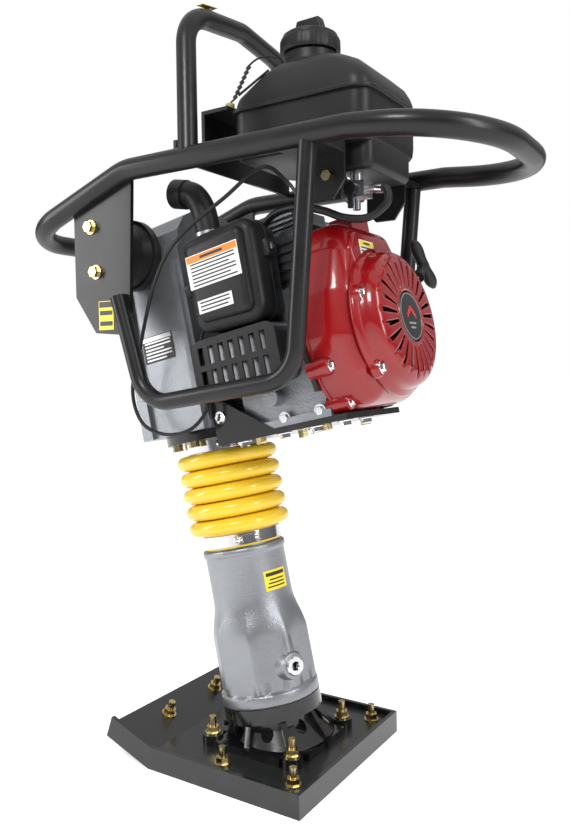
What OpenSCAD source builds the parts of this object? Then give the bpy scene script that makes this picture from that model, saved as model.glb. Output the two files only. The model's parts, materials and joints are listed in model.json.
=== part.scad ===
// Jumping jack rammer: spring leg on a steel shoe, crank drive, petrol engine and a tube handle frame.
// Frame: Z up, -X the way it travels, -Y its left side, origin on the sole under the leg axis. Millimetres.

/* [View] */
// Which sub-part to draw

/* [Shoe] */
// Width of the shoe across the machine
shoe_width = 286; // [240:330]
// Rear edge of the shoe behind the leg axis
shoe_rear = 118; // [90:160]
// Where the toe starts to rise, ahead of the leg axis
toe_bend = 132; // [90:160]
// Length of the sloping toe
toe_length = 84; // [50:120]
// Slope of the toe, degrees
toe_angle = 20; // [10:30]
// Thickness of the shoe plate
pan_plate = 6; // [4:10]
// Height of the upturned edge
pan_edge = 32; // [20:45]
// Top of the board that lies in the shoe
board_top = 24; // [16:30]

/* [Leg] */
// Forward lean of the leg from vertical, degrees
lean_angle = 11.8; // [8:0.1:16]
// Start of the leg casting along its axis
leg_bottom = 83; // [70:100]
// Top of the visible leg casting
leg_top = 305; // [280:330]
// Radius of the leg casting below the bellows
leg_r = 58.4; // [50:70]
// Radius of the bored spring chamber
chamber_r = 36; // [30:40]
// Outer radius of the sliding inner tube
slide_r = 40; // [38:43]
// Outer radius of the bellows rings
bellows_r = 75; // [65:85]
// Spacing of the bellows rings
bellows_pitch = 24.5; // [18:30]

/* [Crank drive] */
// Crank axis height along the leg axis
crank_s = 649.5; // [640:660]
// Crank throw, half of the ram stroke
throw = 30; // [20:35]
// Teeth on the crank gear
gear_teeth = 55; // [45:60]
// Teeth on the pinion
pinion_teeth = 11; // [10:14]
// Gear module
gear_module = 2.5; // [2:0.25:3]
// Bottom of the crankcase along the leg axis
case_bottom = 480; // [470:490]
// Top of the crankcase along the leg axis
case_top = 797; // [770:810]
// Half width of the crankcase
case_half = 88; // [80:100]

/* [Engine] */
// Engine shaft height along the leg axis
shaft_s = 567; // [560:575]
// Rear face of the recoil cover
recoil_x = 330; // [310:350]
// Radial slots in the recoil cover
slot_count = 25; // [16:30]

/* [Frame] */
// Half width of the handle between rail centres
rail_y = 150; // [130:180]
// Rail height over the middle of the machine
rail_z = 828; // [780:860]
// Radius of the handle rail tube
rail_r = 14.3; // [12:18]
// Radius of the guard tubes
guard_r = 11.5; // [10:14]
// Radius of the lifting hoop tube
hoop_r = 13; // [11:16]
// Height of the lifting hoop crown
hoop_z = 1034; // [980:1080]

/* [Tank] */
// Half width of the fuel tank
tank_half = 80; // [60:100]
// Filler axis ahead of or behind the origin
filler_x = 64; // [40:90]
// Top of the filler neck
neck_z = 992; // [980:1000]

/* [Hidden] */
$fn = 48;
stud_spots = [[-72, 70], [62, 70], [-72, -70], [62, -70]];
board_spots = [[-22, 114], [90, 112], [-22, -114], [90, -112]];
pitch_r = gear_module * gear_teeth / 2;
pin_s = crank_s - throw;
wrist_s = pin_s - 105;
mount_x = -30;
mount_s = 745;

module leg_frame() {
  rotate([0, -lean_angle, 0]) children();
}

module along_x(x) {
  translate([x, 0, 0]) rotate([90, 0, 90]) children();
}

module side_on(y) {
  translate([0, y, 0]) rotate([90, 0, 0]) children();
}

// Steel tube along corner points, with true arcs at the corners.
function unit(v) = v / norm(v);
function bend_deg(a, b, c) = acos(unit(b - a) * unit(c - b));
function setback(a, b, c, r) = r * tan(bend_deg(a, b, c) / 2);

function arc_at(a, b, c, r, k = 6) = let (d1 = unit(b - a), deg = bend_deg(a, b, c),
  inward = cross(unit(cross(d1, unit(c - b))), d1), start = b - d1 * setback(a, b, c, r), o = start + inward * r)
  [for (i = [0:k]) [o - inward * r * cos(deg * i / k) + d1 * r * sin(deg * i / k),
    d1 * cos(deg * i / k) + inward * sin(deg * i / k)]];
function tube_path(p, bends, closed) = let (n = len(p)) closed
  ? [for (i = [0:n - 1]) each arc_at(p[(i + n - 1) % n], p[i], p[(i + 1) % n], bends[i])]
  : concat([[p[0], unit(p[1] - p[0])]], [for (i = [1:n - 2]) each arc_at(p[i - 1], p[i], p[i + 1], bends[i])],
    [[p[n - 1], unit(p[n - 1] - p[n - 2])]]);

// bends[i] is the bend radius at points[i]; the first and last are ignored on an open tube.
module bent_tube(points, bends, r, ref, closed = false, m = 18) {
  q = tube_path(points, bends, closed);
  n = len(q);
  rings = [for (e = q) let (u = unit(cross(ref, e[1])), v = cross(e[1], u))
    for (j = [0:m - 1]) e[0] + r * (u * cos(360 * j / m) + v * sin(360 * j / m))];
  walls = [for (i = [0:n - (closed ? 1 : 2)], j = [0:m - 1])
    let (a = i * m + j, b = i * m + (j + 1) % m, c = ((i + 1) % n) * m) [a, c + j, c + (j + 1) % m, b]];
  ends = closed ? [] : [[for (j = [0:m - 1]) j], [for (j = [m - 1:-1:0]) (n - 1) * m + j]];
  polyhedron(rings, concat(walls, ends));
}

// Flexible line through points, as one smooth swept tube.
function spline(p, i, t) = let (n = len(p) - 1, a = p[max(i - 1, 0)], b = p[i], c = p[min(i + 1, n)],
  d = p[min(i + 2, n)]) 0.5 * (2 * b + (c - a) * t + (2 * a - 5 * b + 4 * c - d) * t * t
  + (3 * b - a - 3 * c + d) * t * t * t);
function path(p, k) = [for (i = [0:len(p) - 2], j = [0:k - 1]) spline(p, i, j / k), p[len(p) - 1]];
function heading(q, i) = unit(q[min(i + 1, len(q) - 1)] - q[max(i - 1, 0)]);
function carried(q, i) = i == 0
  ? unit(cross(heading(q, 0), abs(heading(q, 0)[2]) > 0.8 ? [1, 0, 0] : [0, 0, 1]))
  : let (u = carried(q, i - 1), h = heading(q, i)) unit(u - h * (u * h));

module hose(p, r, k = 5, m = 8) {
  q = path(p, k);
  n = len(q);
  rings = [for (i = [0:n - 1]) let (u = carried(q, i), v = cross(heading(q, i), u))
    for (j = [0:m - 1]) q[i] + r * (u * cos(360 * j / m) + v * sin(360 * j / m))];
  walls = [for (i = [0:n - 2], j = [0:m - 1]) let (a = i * m + j, b = i * m + (j + 1) % m)
    [a, a + m, b + m, b]];
  polyhedron(rings, concat(walls, [[for (j = [0:m - 1]) j]], [[for (j = [m - 1:-1:0]) (n - 1) * m + j]]));
}

function rounded(w, h, r, n = 4) = [for (c = [[1, 1, 0], [-1, 1, 90], [-1, -1, 180], [1, -1, 270]], i = [0:n])
  [c[0] * (w / 2 - r) + r * cos(c[2] + 90 * i / n), c[1] * (h / 2 - r) + r * sin(c[2] + 90 * i / n)]];

module bolt_up(x, y, z, r, h) {
  translate([x, y, z]) {
    cylinder(r = r * 2.2, h = 2);
    translate([0, 0, 2]) cylinder(r = r * 1.85, h = r * 1.6, $fn = 6);
    cylinder(r = r, h = h);
  }
}

// ---------------------------------------------------------------- shoe and foot

function toe(t, h) = [-toe_bend - t * cos(toe_angle) + h * sin(toe_angle),
  t * sin(toe_angle) + h * cos(toe_angle)];
function mitre(h) = [-toe_bend + h * tan(toe_angle / 2), h];

module shoe_layer(low, high, rear, front, width) {
  translate([0, width / 2, 0]) rotate([90, 0, 0]) linear_extrude(width)
    polygon([[rear, low], mitre(low), toe(front, low), toe(front, high), mitre(high), [rear, high]]);
}

module shoe_holes() {
  for (p = concat(stud_spots, board_spots)) translate([p[0], p[1], -10]) cylinder(r = 5, h = 60);
  for (y = [-56, 56]) translate([toe(46, 0)[0], y, toe(46, 0)[1]]) rotate([0, toe_angle, 0])
    translate([0, 0, -8]) cylinder(r = 5, h = 60);
}

module shoe_pan() {
  color("black") difference() {
    shoe_layer(0, pan_edge, shoe_rear, toe_length, shoe_width);
    shoe_layer(pan_plate, pan_edge + 5, shoe_rear - pan_plate, toe_length - 6, shoe_width - 2 * pan_plate);
    translate([0, shoe_width / 2 - pan_plate, 0]) rotate([90, 0, 0]) linear_extrude(shoe_width - 2 * pan_plate)
      polygon([toe(toe_length - 12, 20), toe(toe_length + 6, 20), toe(toe_length + 6, 50), toe(toe_length - 12, 50)]);
    shoe_holes();
  }
}

module shoe_board() {
  color("dimgray") difference() {
    shoe_layer(pan_plate, board_top, shoe_rear - pan_plate - 1, toe_length - 7, shoe_width - 2 * pan_plate - 2);
    shoe_holes();
  }
}

module stud(x, y, seat) {
  bolt_up(x, y, seat, 5, 24);
  translate([x, y, pan_plate - 4]) cylinder(r = 5, h = seat);
}

module shoe_studs() {
  color("goldenrod") {
    for (p = stud_spots) stud(p[0], p[1], board_top + 14);
    for (p = board_spots) stud(p[0], p[1], board_top);
    for (y = [-56, 56]) translate([toe(46, 0)[0], y, toe(46, 0)[1]]) rotate([0, toe_angle, 0]) {
      bolt_up(0, 0, board_top, 5, 22);
      translate([0, 0, 2]) cylinder(r = 5, h = board_top);
    }
  }
}

module foot_casting() {
  color("black") difference() {
    union() {
      intersection() {
        leg_frame() union() {
          cylinder(r = 60, h = leg_bottom);
          translate([0, 0, 62]) cylinder(r = 71.5, h = leg_bottom - 62);
          translate([0, 0, 20]) cylinder(r1 = 82, r2 = 60, h = 30);
        }
        translate([-150, -150, board_top]) cube([300, 300, 200]);
      }
      translate([-87, -50, board_top]) cube([164, 100, 10]);
      translate([-60, -84, board_top]) cube([110, 168, 10]);
      for (p = stud_spots) translate([p[0], p[1], board_top]) cylinder(r = 15, h = 14);
      intersection() {
        leg_frame() for (a = [0, 45, 90, 135]) rotate([0, 0, a]) translate([-4, -84, 10])
          cube([8, 168, 58]);
        translate([-150, -150, board_top]) cube([300, 300, 200]);
        leg_frame() cylinder(r1 = 96, r2 = 62, h = 68);
      }
    }
    for (p = stud_spots) translate([p[0], p[1], 0]) cylinder(r = 5, h = 90);
    for (p = stud_spots) translate([p[0], p[1], board_top + 14]) cylinder(r = 13, h = 90);
    leg_frame() for (a = [22.5:45:359]) rotate([0, 0, a]) translate([74, 0, 46])
      rotate([90, 0, 90]) cylinder(r = 9, h = 40, center = true);
  }
}

// ---------------------------------------------------------------- leg, drawn on its own axis

module leg_cylinder() {
  color("silver") leg_frame() difference() {
    union() {
      translate([0, 0, leg_bottom]) cylinder(r = 71.6, h = 16);
      intersection() {
        translate([0, 0, leg_bottom + 10]) rotate([0, 0, 22.5]) cylinder(r = 72, h = 130, $fn = 8);
        translate([0, 0, leg_bottom]) union() {
          cylinder(r = 80, h = 92);
          translate([0, 0, 92]) cylinder(r1 = 80, r2 = leg_r - 1, h = 45);
        }
      }
      translate([0, 0, leg_bottom + 4]) cylinder(r = leg_r, h = leg_top - leg_bottom - 4);
      translate([0, 0, leg_top - 10]) cylinder(r = leg_r + 2.6, h = 10);
      translate([0, 0, leg_top - 2]) cylinder(r = 54, h = 27);
      rotate([0, 0, -22.5]) translate([50, 0, 132]) rotate([0, 90, 0]) cylinder(r = 18, h = 26);
      rotate([0, 0, -22.5]) translate([52, -7, 132]) cube([20, 14, 48]);
    }
    translate([0, 0, 100]) cylinder(r = chamber_r, h = 240);
    translate([0, 0, leg_top - 5]) cylinder(r = slide_r, h = 40);
    rotate([0, 0, -22.5]) translate([62, 0, 132]) rotate([0, 90, 0]) cylinder(r = 10, h = 30);
  }
}

module oil_plug() {
  color("gray") leg_frame() rotate([0, 0, -22.5]) translate([62, 0, 132]) rotate([0, 90, 0]) difference() {
    union() {
      cylinder(r = 10, h = 15);
      translate([0, 0, 14]) cylinder(r = 13, h = 5);
    }
    translate([0, 0, 12]) cylinder(r = 6, h = 12, $fn = 6);
  }
}

module inner_tube() {
  color("lightgray") leg_frame() difference() {
    translate([0, 0, leg_top - 5]) cylinder(r = slide_r, h = 150);
    translate([0, 0, leg_top - 10]) cylinder(r = chamber_r, h = 90);
    translate([0, 0, leg_top + 70]) cylinder(r = 13, h = 30);
    translate([0, 0, leg_top + 87]) cylinder(r = chamber_r, h = 80);
  }
}

module band_clamp(s, r) {
  leg_frame() translate([0, 0, s]) {
    difference() {
      cylinder(r = r + 2, h = 16);
      translate([0, 0, -1]) cylinder(r = r, h = 18);
    }
    rotate([0, 0, -45]) translate([r + 1, -9, 3]) cube([8, 18, 10]);
    rotate([0, 0, -45]) translate([r + 5, -14, 8]) rotate([-90, 0, 0]) cylinder(r = 3, h = 28);
  }
}

module lower_clamp() {
  color("silver") band_clamp(310, 57);
}

module upper_clamp() {
  color("silver") band_clamp(449, 57);
}

function wave(s) = 66 + (bellows_r - 66) * cos(360 * (s - 338.5) / bellows_pitch);

module bellows() {
  outer = [for (i = [0:50]) let (s = 338.5 + bellows_pitch * (i / 10 - 0.4)) [wave(s), s]];
  top = outer[50][1];
  color("gold") leg_frame() rotate_extrude() polygon(concat([[57, 307], [57, 328]], outer,
    [[57, 448], [57, 466], [54.2, 466], [54.2, top + 1]],
    [for (i = [50:-1:0]) [max(outer[i][0] - 3, 54.2), outer[i][1]]], [[54.2, 307]]));
}

module coil(low, high, turns) {
  pts = [for (i = [0:turns * 10]) [27 * cos(36 * i), 27 * sin(36 * i), low + (high - low) * i / (turns * 10)]];
  hose(pts, 3.2, 1, 8);
}

module lower_spring() {
  color("steelblue") leg_frame() coil(104, 231, 7);
}

module upper_spring() {
  color("steelblue") leg_frame() coil(259, 371, 6);
}

// ---------------------------------------------------------------- crankcase and guide

module case_outline() {
  polygon([[-88, case_bottom], [88, case_bottom], [88, 735], [80, 763], [62, 784], [34, case_top],
    [-34, case_top], [-62, 784], [-80, 763], [-88, 735]]);
}

module crankcase() {
  color("silver") leg_frame() difference() {
    union() {
      along_x(-68) linear_extrude(116) case_outline();
      for (s = [-1, 1]) translate([mount_x, s * case_half, mount_s]) rotate([90, 0, 0])
        cylinder(r = 34, h = 6, center = true);
      translate([-62, -94, case_bottom]) cube([8, 188, 240]);
      translate([34, -94, case_bottom]) cube([8, 188, 240]);
    }
    along_x(-69) linear_extrude(109) polygon([[-80, 500], [80, 500], [80, 730], [56, 778], [-56, 778], [-80, 730]]);
    translate([0, 0, case_bottom - 1]) cylinder(r = 46, h = 30);
    along_x(30) translate([0, crank_s]) cylinder(r = 15.05, h = 30);
    along_x(30) translate([0, shaft_s]) cylinder(r = 10.05, h = 30);
  }
}

module case_cover() {
  color("silver") leg_frame() difference() {
    union() {
      along_x(-78) linear_extrude(10) case_outline();
      along_x(-86) translate([0, crank_s]) cylinder(r = 62, h = 12);
      along_x(-90) translate([0, crank_s]) cylinder(r = 24, h = 12);
      along_x(-84) linear_extrude(8) polygon([[-50, 500], [50, 500], [36, 600], [-36, 600]]);
    }
    along_x(-91) translate([0, crank_s]) cylinder(r = 8, h = 6, $fn = 6);
  }
}

module case_bolts() {
  color("goldenrod") leg_frame() {
    for (p = [[-76, 495], [76, 495], [-80, 570], [80, 570], [-80, 650], [80, 650], [-78, 725], [78, 725],
      [-40, 786], [40, 786]])
      along_x(-84) translate([p[0], p[1]]) cylinder(r = 6, h = 12, $fn = 6);
    for (a = [30:60:359]) rotate([0, 0, a]) translate([71, 0, 458]) {
      cylinder(r = 8, h = 8, $fn = 6);
      cylinder(r = 4, h = 30);
    }
    for (x = [105, 210], y = [-55, 55]) translate([x, y, 444]) {
      cylinder(r = 8, h = 8, $fn = 6);
      cylinder(r = 4, h = 26);
    }
  }
}

module guide_cylinder() {
  color("black") leg_frame() difference() {
    union() {
      translate([0, 0, 466]) cylinder(r = 84, h = 14);
      translate([0, 0, 440]) cylinder(r = 54, h = 30);
      translate([0, 0, 372]) cylinder(r = 50, h = 70);
    }
    translate([0, 0, 370]) cylinder(r = 43, h = 72);
    translate([0, 0, 430]) cylinder(r = 44, h = 60);
    for (a = [30:60:359]) rotate([0, 0, a]) translate([71, 0, 460]) cylinder(r = 4, h = 30);
  }
}

module guide_bush() {
  color("peru") leg_frame() difference() {
    translate([0, 0, 373]) cylinder(r = 43, h = 57);
    translate([0, 0, 370]) cylinder(r = slide_r + 0.06, h = 70);
  }
}

// ---------------------------------------------------------------- crank, rod and ram inside the case

// Involute teeth at 25 degrees, with a little backlash; add is the addendum in modules.
function involute(deg) = tan(deg) * 180 / PI - deg;
function tooth_angle(r, n, m) = let (rb = m * n / 2 * cos(25), c = max(r, rb))
  89.1 / n + involute(25) - involute(acos(min(rb / c, 1)));
function gear_points(n, m, add) = [for (k = [0:n - 1], q = [[-1, -1.2], [-1, -0.5], [-1, 0], [-1, 0.5], [-1, 1],
  [1, 1], [1, 0.5], [1, 0], [1, -0.5], [1, -1.2]]) let (r = m * n / 2 + (q[1] > 0 ? q[1] * add : q[1]) * m,
  a = 360 * k / n + q[0] * tooth_angle(r, n, m)) [r * cos(a), r * sin(a)]];

module crank_gear() {
  color("slategray") leg_frame() {
    along_x(20) translate([0, crank_s]) difference() {
      rotate([0, 0, 90]) linear_extrude(16) polygon(gear_points(gear_teeth, gear_module, 0.6));
      for (a = [-50, -10, 190, 230]) rotate([0, 0, a]) translate([46, 0, -1]) cylinder(r = 10, h = 20);
    }
    along_x(35) translate([0, crank_s]) cylinder(r = 15, h = 22);
    along_x(-9) translate([0, pin_s]) cylinder(r = 11, h = 30);
    along_x(-12) translate([0, pin_s]) cylinder(r = 13.5, h = 3);
  }
}

module con_rod() {
  color("gray") leg_frame() along_x(-8) difference() {
    union() {
      translate([0, pin_s]) cylinder(r = 20, h = 16);
      translate([0, wrist_s]) cylinder(r = 14, h = 16);
      translate([-8, wrist_s, 0]) cube([16, 105, 16]);
    }
    translate([0, pin_s, -1]) cylinder(r = 11.05, h = 20);
    translate([0, wrist_s, -1]) cylinder(r = 8, h = 20);
  }
}

module ram() {
  color("gray") leg_frame() difference() {
    union() {
      translate([0, 0, 235]) cylinder(r = chamber_r - 0.4, h = 20);
      translate([0, 0, 250]) cylinder(r = 12, h = 182);
      translate([0, 0, 424]) cylinder(r = 20, h = 14);
      translate([-18, -13, 428]) cube([8, 26, 100]);
      translate([10, -13, 428]) cube([8, 26, 100]);
      for (x = [-10, 8.8]) translate([x, 0, wrist_s]) rotate([0, 90, 0]) cylinder(r = 7.5, h = 1.2);
    }
    translate([0, 0, 234]) cylinder(r = 5, h = 12);
  }
}

module pinion() {
  color("slategray") leg_frame() {
    along_x(20) translate([0, shaft_s]) rotate([0, 0, 90]) linear_extrude(16)
      polygon(gear_points(pinion_teeth, gear_module, 0.95));
    along_x(34) translate([0, shaft_s]) cylinder(r = 10, h = 30);
    difference() {
      along_x(60) translate([0, shaft_s]) cylinder(r = 42, h = 30);
      along_x(66) translate([0, shaft_s]) cylinder(r = 36, h = 30);
    }
  }
}

module flywheel() {
  color("dimgray") leg_frame() translate([0, 0, shaft_s]) rotate([0, 90, 0]) {
    translate([0, 0, 78]) cylinder(r = 10, h = 222);
    translate([0, 0, 78]) cylinder(r = 32, h = 12);
    translate([0, 0, 236]) cylinder(r = 84, h = 22);
    translate([0, 0, 284]) cylinder(r = 34, h = 6);
    for (a = [0:30:359]) rotate([0, 0, a]) translate([44, -2, 256]) cube([36, 4, 16]);
  }
}

// ---------------------------------------------------------------- handle frame, level with the ground

module rubber_mount(side) {
  color("black") leg_frame() translate([mount_x, side * 91, mount_s]) rotate([-90 * side, 0, 0]) {
    cylinder(r = 50, h = 12);
    translate([0, 0, 11]) cylinder(r1 = 46, r2 = 38, h = 20);
    translate([0, 0, 30]) cylinder(r = 44, h = 20);
  }
}

module rubber_mount_left() {
  rubber_mount(-1);
}

module rubber_mount_right() {
  rubber_mount(1);
}

module mount_plate(side) {
  color("black") translate([0, side > 0 ? 147 : -141, 0]) rotate([90, 0, 0]) linear_extrude(6)
    polygon([[-238, 790], [-243, 776], [-243, 664], [-205, 612], [-156, 608], [-140, 640], [-132, 824],
      [-160, 818]]);
}

module mount_plate_left() {
  mount_plate(-1);
}

module mount_plate_right() {
  mount_plate(1);
}

module frame_bolts() {
  color("goldenrod") {
    for (s = [-1, 1], p = [[-209, 760], [-201, 697]])
      translate([p[0], s * 147, p[1]]) rotate([-90 * s, 0, 0]) {
        cylinder(r = 10, h = 2);
        cylinder(r = 8, h = 9, $fn = 6);
      }
    for (s = [-1, 1]) translate([-34, s * 52, 912]) {
      cylinder(r = 9, h = 2);
      cylinder(r = 7, h = 9, $fn = 6);
    }
    for (s = [-1, 1]) translate([140, s * 90, 792]) rotate([-90 * s, 0, 0]) cylinder(r = 7, h = 7, $fn = 6);
  }
}

module main_handle() {
  y = rail_y;
  color("black") bent_tube([[352, -y, 812], [352, y, 812], [195, y, rail_z], [-139, y, rail_z],
    [-345, y, 756], [-345, -y, 756], [-139, -y, rail_z], [195, -y, rail_z]],
    [124, 124, 90, 90, 73, 73, 90, 90], rail_r, [0, 0, 1], true);
}

module top_hoop() {
  y = rail_y;
  color("black") bent_tube([[-30, -y, rail_z], [-52, -122, hoop_z - 10], [-50, 0, hoop_z + 4],
    [-52, 122, hoop_z - 10], [-30, y, rail_z]], [0, 58, 60, 58, 0], hoop_r, [1, 0, 0]);
}

module guard(side) {
  y = side * rail_y;
  color("black") bent_tube([[148, y, rail_z], [124, y, 546], [-112, y, 512], [-158, y, 660]],
    [0, 48, 48, 0], guard_r, [0, 1, 0]);
}

module guard_left() {
  guard(-1);
}

module guard_right() {
  guard(1);
}

// ---------------------------------------------------------------- fuel tank

module tank_shape(g) {
  intersection() {
    side_on(tank_half) linear_extrude(2 * tank_half) polygon([[-14, 836], [-14, 912], [26, 950],
      [60, 962], [118, 962], [186, 930], [186, 802], [128, 802], [116, 836]]);
    along_x(-20) linear_extrude(220) polygon([[-tank_half, 790], [-tank_half, 914], [-58, 966], [58, 966],
      [tank_half, 914], [tank_half, 790]]);
  }
}

module fuel_tank() {
  color("black") difference() {
    union() {
      tank_shape(0);
      translate([-20, -tank_half - 5, 896]) cube([211, 2 * tank_half + 10, 6]);
      translate([filler_x, 0, 950]) cylinder(r = 44, h = 22);
      translate([filler_x, 0, 950]) cylinder(r = 34, h = neck_z - 950);
    }
    translate([4, -68, 842]) cube([172, 136, 82]);
    translate([filler_x, 0, 920]) cylinder(r = 27, h = 80);
  }
}

module tank_brackets() {
  color("black") {
    translate([-64, -138, 832]) cube([5, 276, 26]);
    translate([-64, -78, 850]) cube([5, 156, 56]);
    translate([-64, -78, 905]) cube([44, 156, 5]);
    for (s = [-1, 1]) {
      translate([100, s > 0 ? 88 : -138, 817]) cube([62, 50, 5]);
      side_on(s > 0 ? 90 : -86) linear_extrude(4) polygon([[104, 822], [104, 778], [118, 764], [146, 764],
        [162, 786], [162, 850], [120, 850]]);
    }
  }
}

module fuel_cap() {
  color("black") difference() {
    union() {
      translate([filler_x, 0, 974]) cylinder(r = 40, h = 32);
      translate([filler_x, 0, 1005]) cylinder(r1 = 40, r2 = 34, h = 5);
      translate([filler_x - 34, -6, 1004]) cube([68, 12, 16]);
      translate([filler_x - 16, -6, 1004]) cube([32, 12, 24]);
      for (a = [0:20:359]) translate([filler_x, 0, 976]) rotate([0, 0, a]) translate([38, -3, 0])
        cube([4, 6, 28]);
    }
    translate([filler_x, 0, 973]) cylinder(r = 34.4, h = neck_z + 1 - 973);
  }
}

module cap_tether() {
  n = 64;
  pts = concat([[34, -31, 972.5], [22, -36, 975], [8, -40, 974]], [for (i = [0:n]) [-8 - 22 * i / n + 7 * cos(i * 56.25),
    -44 - 4 * i / n + 7 * sin(i * 56.25), 968 - 44 * i / n]], [[-34, -50, 922]]);
  color("gray") hose(pts, 1.3, 1, 6);
}

module fuel_valve() {
  color("dimgray") {
    translate([156, -46, 782]) cylinder(r = 8, h = 24);
    translate([140, -58, 770]) cube([32, 24, 20]);
    translate([156, -46, 756]) cylinder(r = 5, h = 16);
    translate([172, -46, 780]) rotate([0, 90, 0]) cylinder(r = 5, h = 12);
  }
}

module valve_lever() {
  color("black") {
    translate([156, -58.5, 780]) rotate([90, 0, 0]) cylinder(r = 8, h = 7);
    translate([153, -65, 756]) cube([6, 5, 26]);
  }
}

module fuel_hose() {
  color("black") hose([[184, -46, 780], [196, -46, 778], [200, -50, 760], [180, -62, 742], [150, -68, 744], [120, -72, 756],
    [80, -70, 765], [36, -60, 760], [12, -52, 738], [6, -47, 714], [7, -46, 694]], 5, 6, 10);
}

module throttle_bracket() {
  color("dimgray") {
    translate([40, 150, rail_z]) rotate([0, 90, 0]) difference() {
      cylinder(r = rail_r + 4, h = 22);
      translate([0, 0, -1]) cylinder(r = rail_r, h = 24);
    }
    translate([44, 122, rail_z + 6]) cube([14, 20, 5]);
    translate([44, 112, rail_z + 6]) cube([14, 16, 5]);
    translate([51, 118, rail_z + 6]) cylinder(r = 4, h = 24);
  }
}

module throttle_lever() {
  color("black") difference() {
    union() {
      translate([51, 118, rail_z + 19]) cylinder(r = 11, h = 8);
      translate([51, 114, rail_z + 19]) cube([62, 8, 8]);
      translate([112, 118, rail_z + 19]) cylinder(r = 9, h = 14);
    }
    translate([51, 118, rail_z]) cylinder(r = 4.06, h = 40);
  }
}

module throttle_cable() {
  color("black") hose([[44, 114, 832], [20, 96, 812], [20, 40, 806], [50, -40, 806], [56, -108, 812],
    [14, -132, 776], [-60, -141, 728], [-108, -132, 676], [-150, -118, 590], [-166, -118, 530],
    [-150, -118, 486], [-112, -116, 470], [-70, -112, 476], [-50, -100, 500], [-52, -96, 522],
    [-64, -91, 570], [-71, -76, 611], [-60, -60, 636], [-42, -52, 653], [-12, -48, 665]], 2.6, 4, 8);
}

// ---------------------------------------------------------------- engine, on the leg's lean

module base_plate() {
  color("black") leg_frame() difference() {
    union() {
      translate([48, -78, 452]) cube([206, 156, 8]);
      translate([48, -78, 452]) cube([8, 156, 62]);
      for (y = [-78, 72]) side_on(y + 6) linear_extrude(6) polygon([[50, 454], [50, 514], [64, 514], [150, 454]]);
    }
    for (x = [105, 210], y = [-55, 55]) translate([x, y, 440]) cylinder(r = 4, h = 30);
    translate([0, 0, 440]) cylinder(r = 62, h = 26);
    rotate([0, 0, -45]) translate([40, -16, 440]) cube([46, 32, 27]);
    translate([0, 0, 465]) cylinder(r = 85.5, h = 16);
  }
}

module engine_block() {
  color("silver") leg_frame() difference() {
    union() {
      translate([94, -66, 460]) cube([132, 132, 176]);
      along_x(48) translate([0, shaft_s]) cylinder(r = 50, h = 50);
      translate([100, -36, 630]) cube([116, 104, 84]);
      for (i = [0:5]) translate([94, -40, 642 + 12 * i]) cube([128, 114, 4]);
      translate([86, -76, 460]) cube([146, 152, 10]);
      along_x(222) translate([0, shaft_s]) cylinder(r = 60, h = 6);
      translate([150, -84, 500]) rotate([-90, 0, 0]) cylinder(r = 12, h = 24);
    }
    along_x(40) translate([0, shaft_s]) cylinder(r = 44, h = 52);
    along_x(60) translate([0, shaft_s]) cylinder(r = 10.06, h = 200);
    for (x = [105, 210], y = [-55, 55]) translate([x, y, 440]) cylinder(r = 4, h = 30);
  }
}

module cylinder_head() {
  color("silver") leg_frame() {
    translate([100, -34, 714]) cube([114, 100, 8]);
    for (i = [0:2]) translate([106, -36, 724 + 7 * i]) cube([102, 104, 3]);
    translate([108, -28, 720]) cube([98, 88, 30]);
  }
}

module spark_plug() {
  color("gainsboro") leg_frame() translate([150, 60, 728]) rotate([-60, 0, 0]) {
    cylinder(r = 7, h = 26);
    translate([0, 0, 10]) cylinder(r = 9, h = 7, $fn = 6);
    translate([0, 0, 24]) cylinder(r = 9, h = 18);
  }
  color("black") leg_frame() hose([[151, 97, 749], [160, 106, 750], [180, 104, 738], [210, 98, 716],
    [224, 92, 700]], 3.5, 5, 8);
}

module carburettor() {
  color("silver") leg_frame() {
    translate([118, -62, 632]) cube([46, 28, 44]);
    translate([140, -48, 610]) cylinder(r = 15, h = 24);
    translate([150, -46, 675]) cylinder(r = 5, h = 8);
  }
}

module choke_lever() {
  color("dimgray") leg_frame() {
    translate([70.5, -76, 676]) rotate([0, 90, 0]) cylinder(r = 9, h = 7);
    translate([60, -79, 673]) cube([12, 6, 30]);
  }
}

module air_cleaner_case() {
  color("black") leg_frame() difference() {
    union() {
      translate([82, -106, 598]) cube([110, 44, 130]);
      translate([78, -84, 660]) cube([8, 16, 32]);
      translate([190, -98, 676]) cube([10, 26, 26]);
    }
    translate([88, -107, 604]) cube([98, 36, 118]);
    translate([140, -50, 654]) rotate([90, 0, 0]) cylinder(r = 16, h = 40);
  }
}

module air_cleaner_cover() {
  color("black") leg_frame() {
    difference() {
      union() {
        side_on(-107) linear_extrude(20) translate([137, 663]) polygon(rounded(116, 138, 14));
        side_on(-126) linear_extrude(9) translate([137, 663]) polygon(rounded(104, 126, 16));
      }
      translate([88, -124, 604]) cube([98, 20, 118]);
    }
    translate([82, -118, 646]) rotate([0, -90, 0]) cylinder(r = 10, h = 14);
  }
}

module intake_elbow() {
  color("black") leg_frame() {
    translate([100, -84, 728]) cylinder(r = 17, h = 60);
    translate([100, -84, 728]) cylinder(r = 20, h = 8);
    translate([100, -84, 756]) cylinder(r = 19, h = 10);
    translate([100, -84, 788]) sphere(r = 18.5);
    translate([100, -84, 788]) rotate([0, -70, 0]) difference() {
      union() {
        cylinder(r = 17, h = 42);
        translate([0, 0, 28]) cylinder(r = 20, h = 14);
      }
      translate([0, 0, 24]) cylinder(r = 14, h = 24);
    }
  }
}

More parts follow.
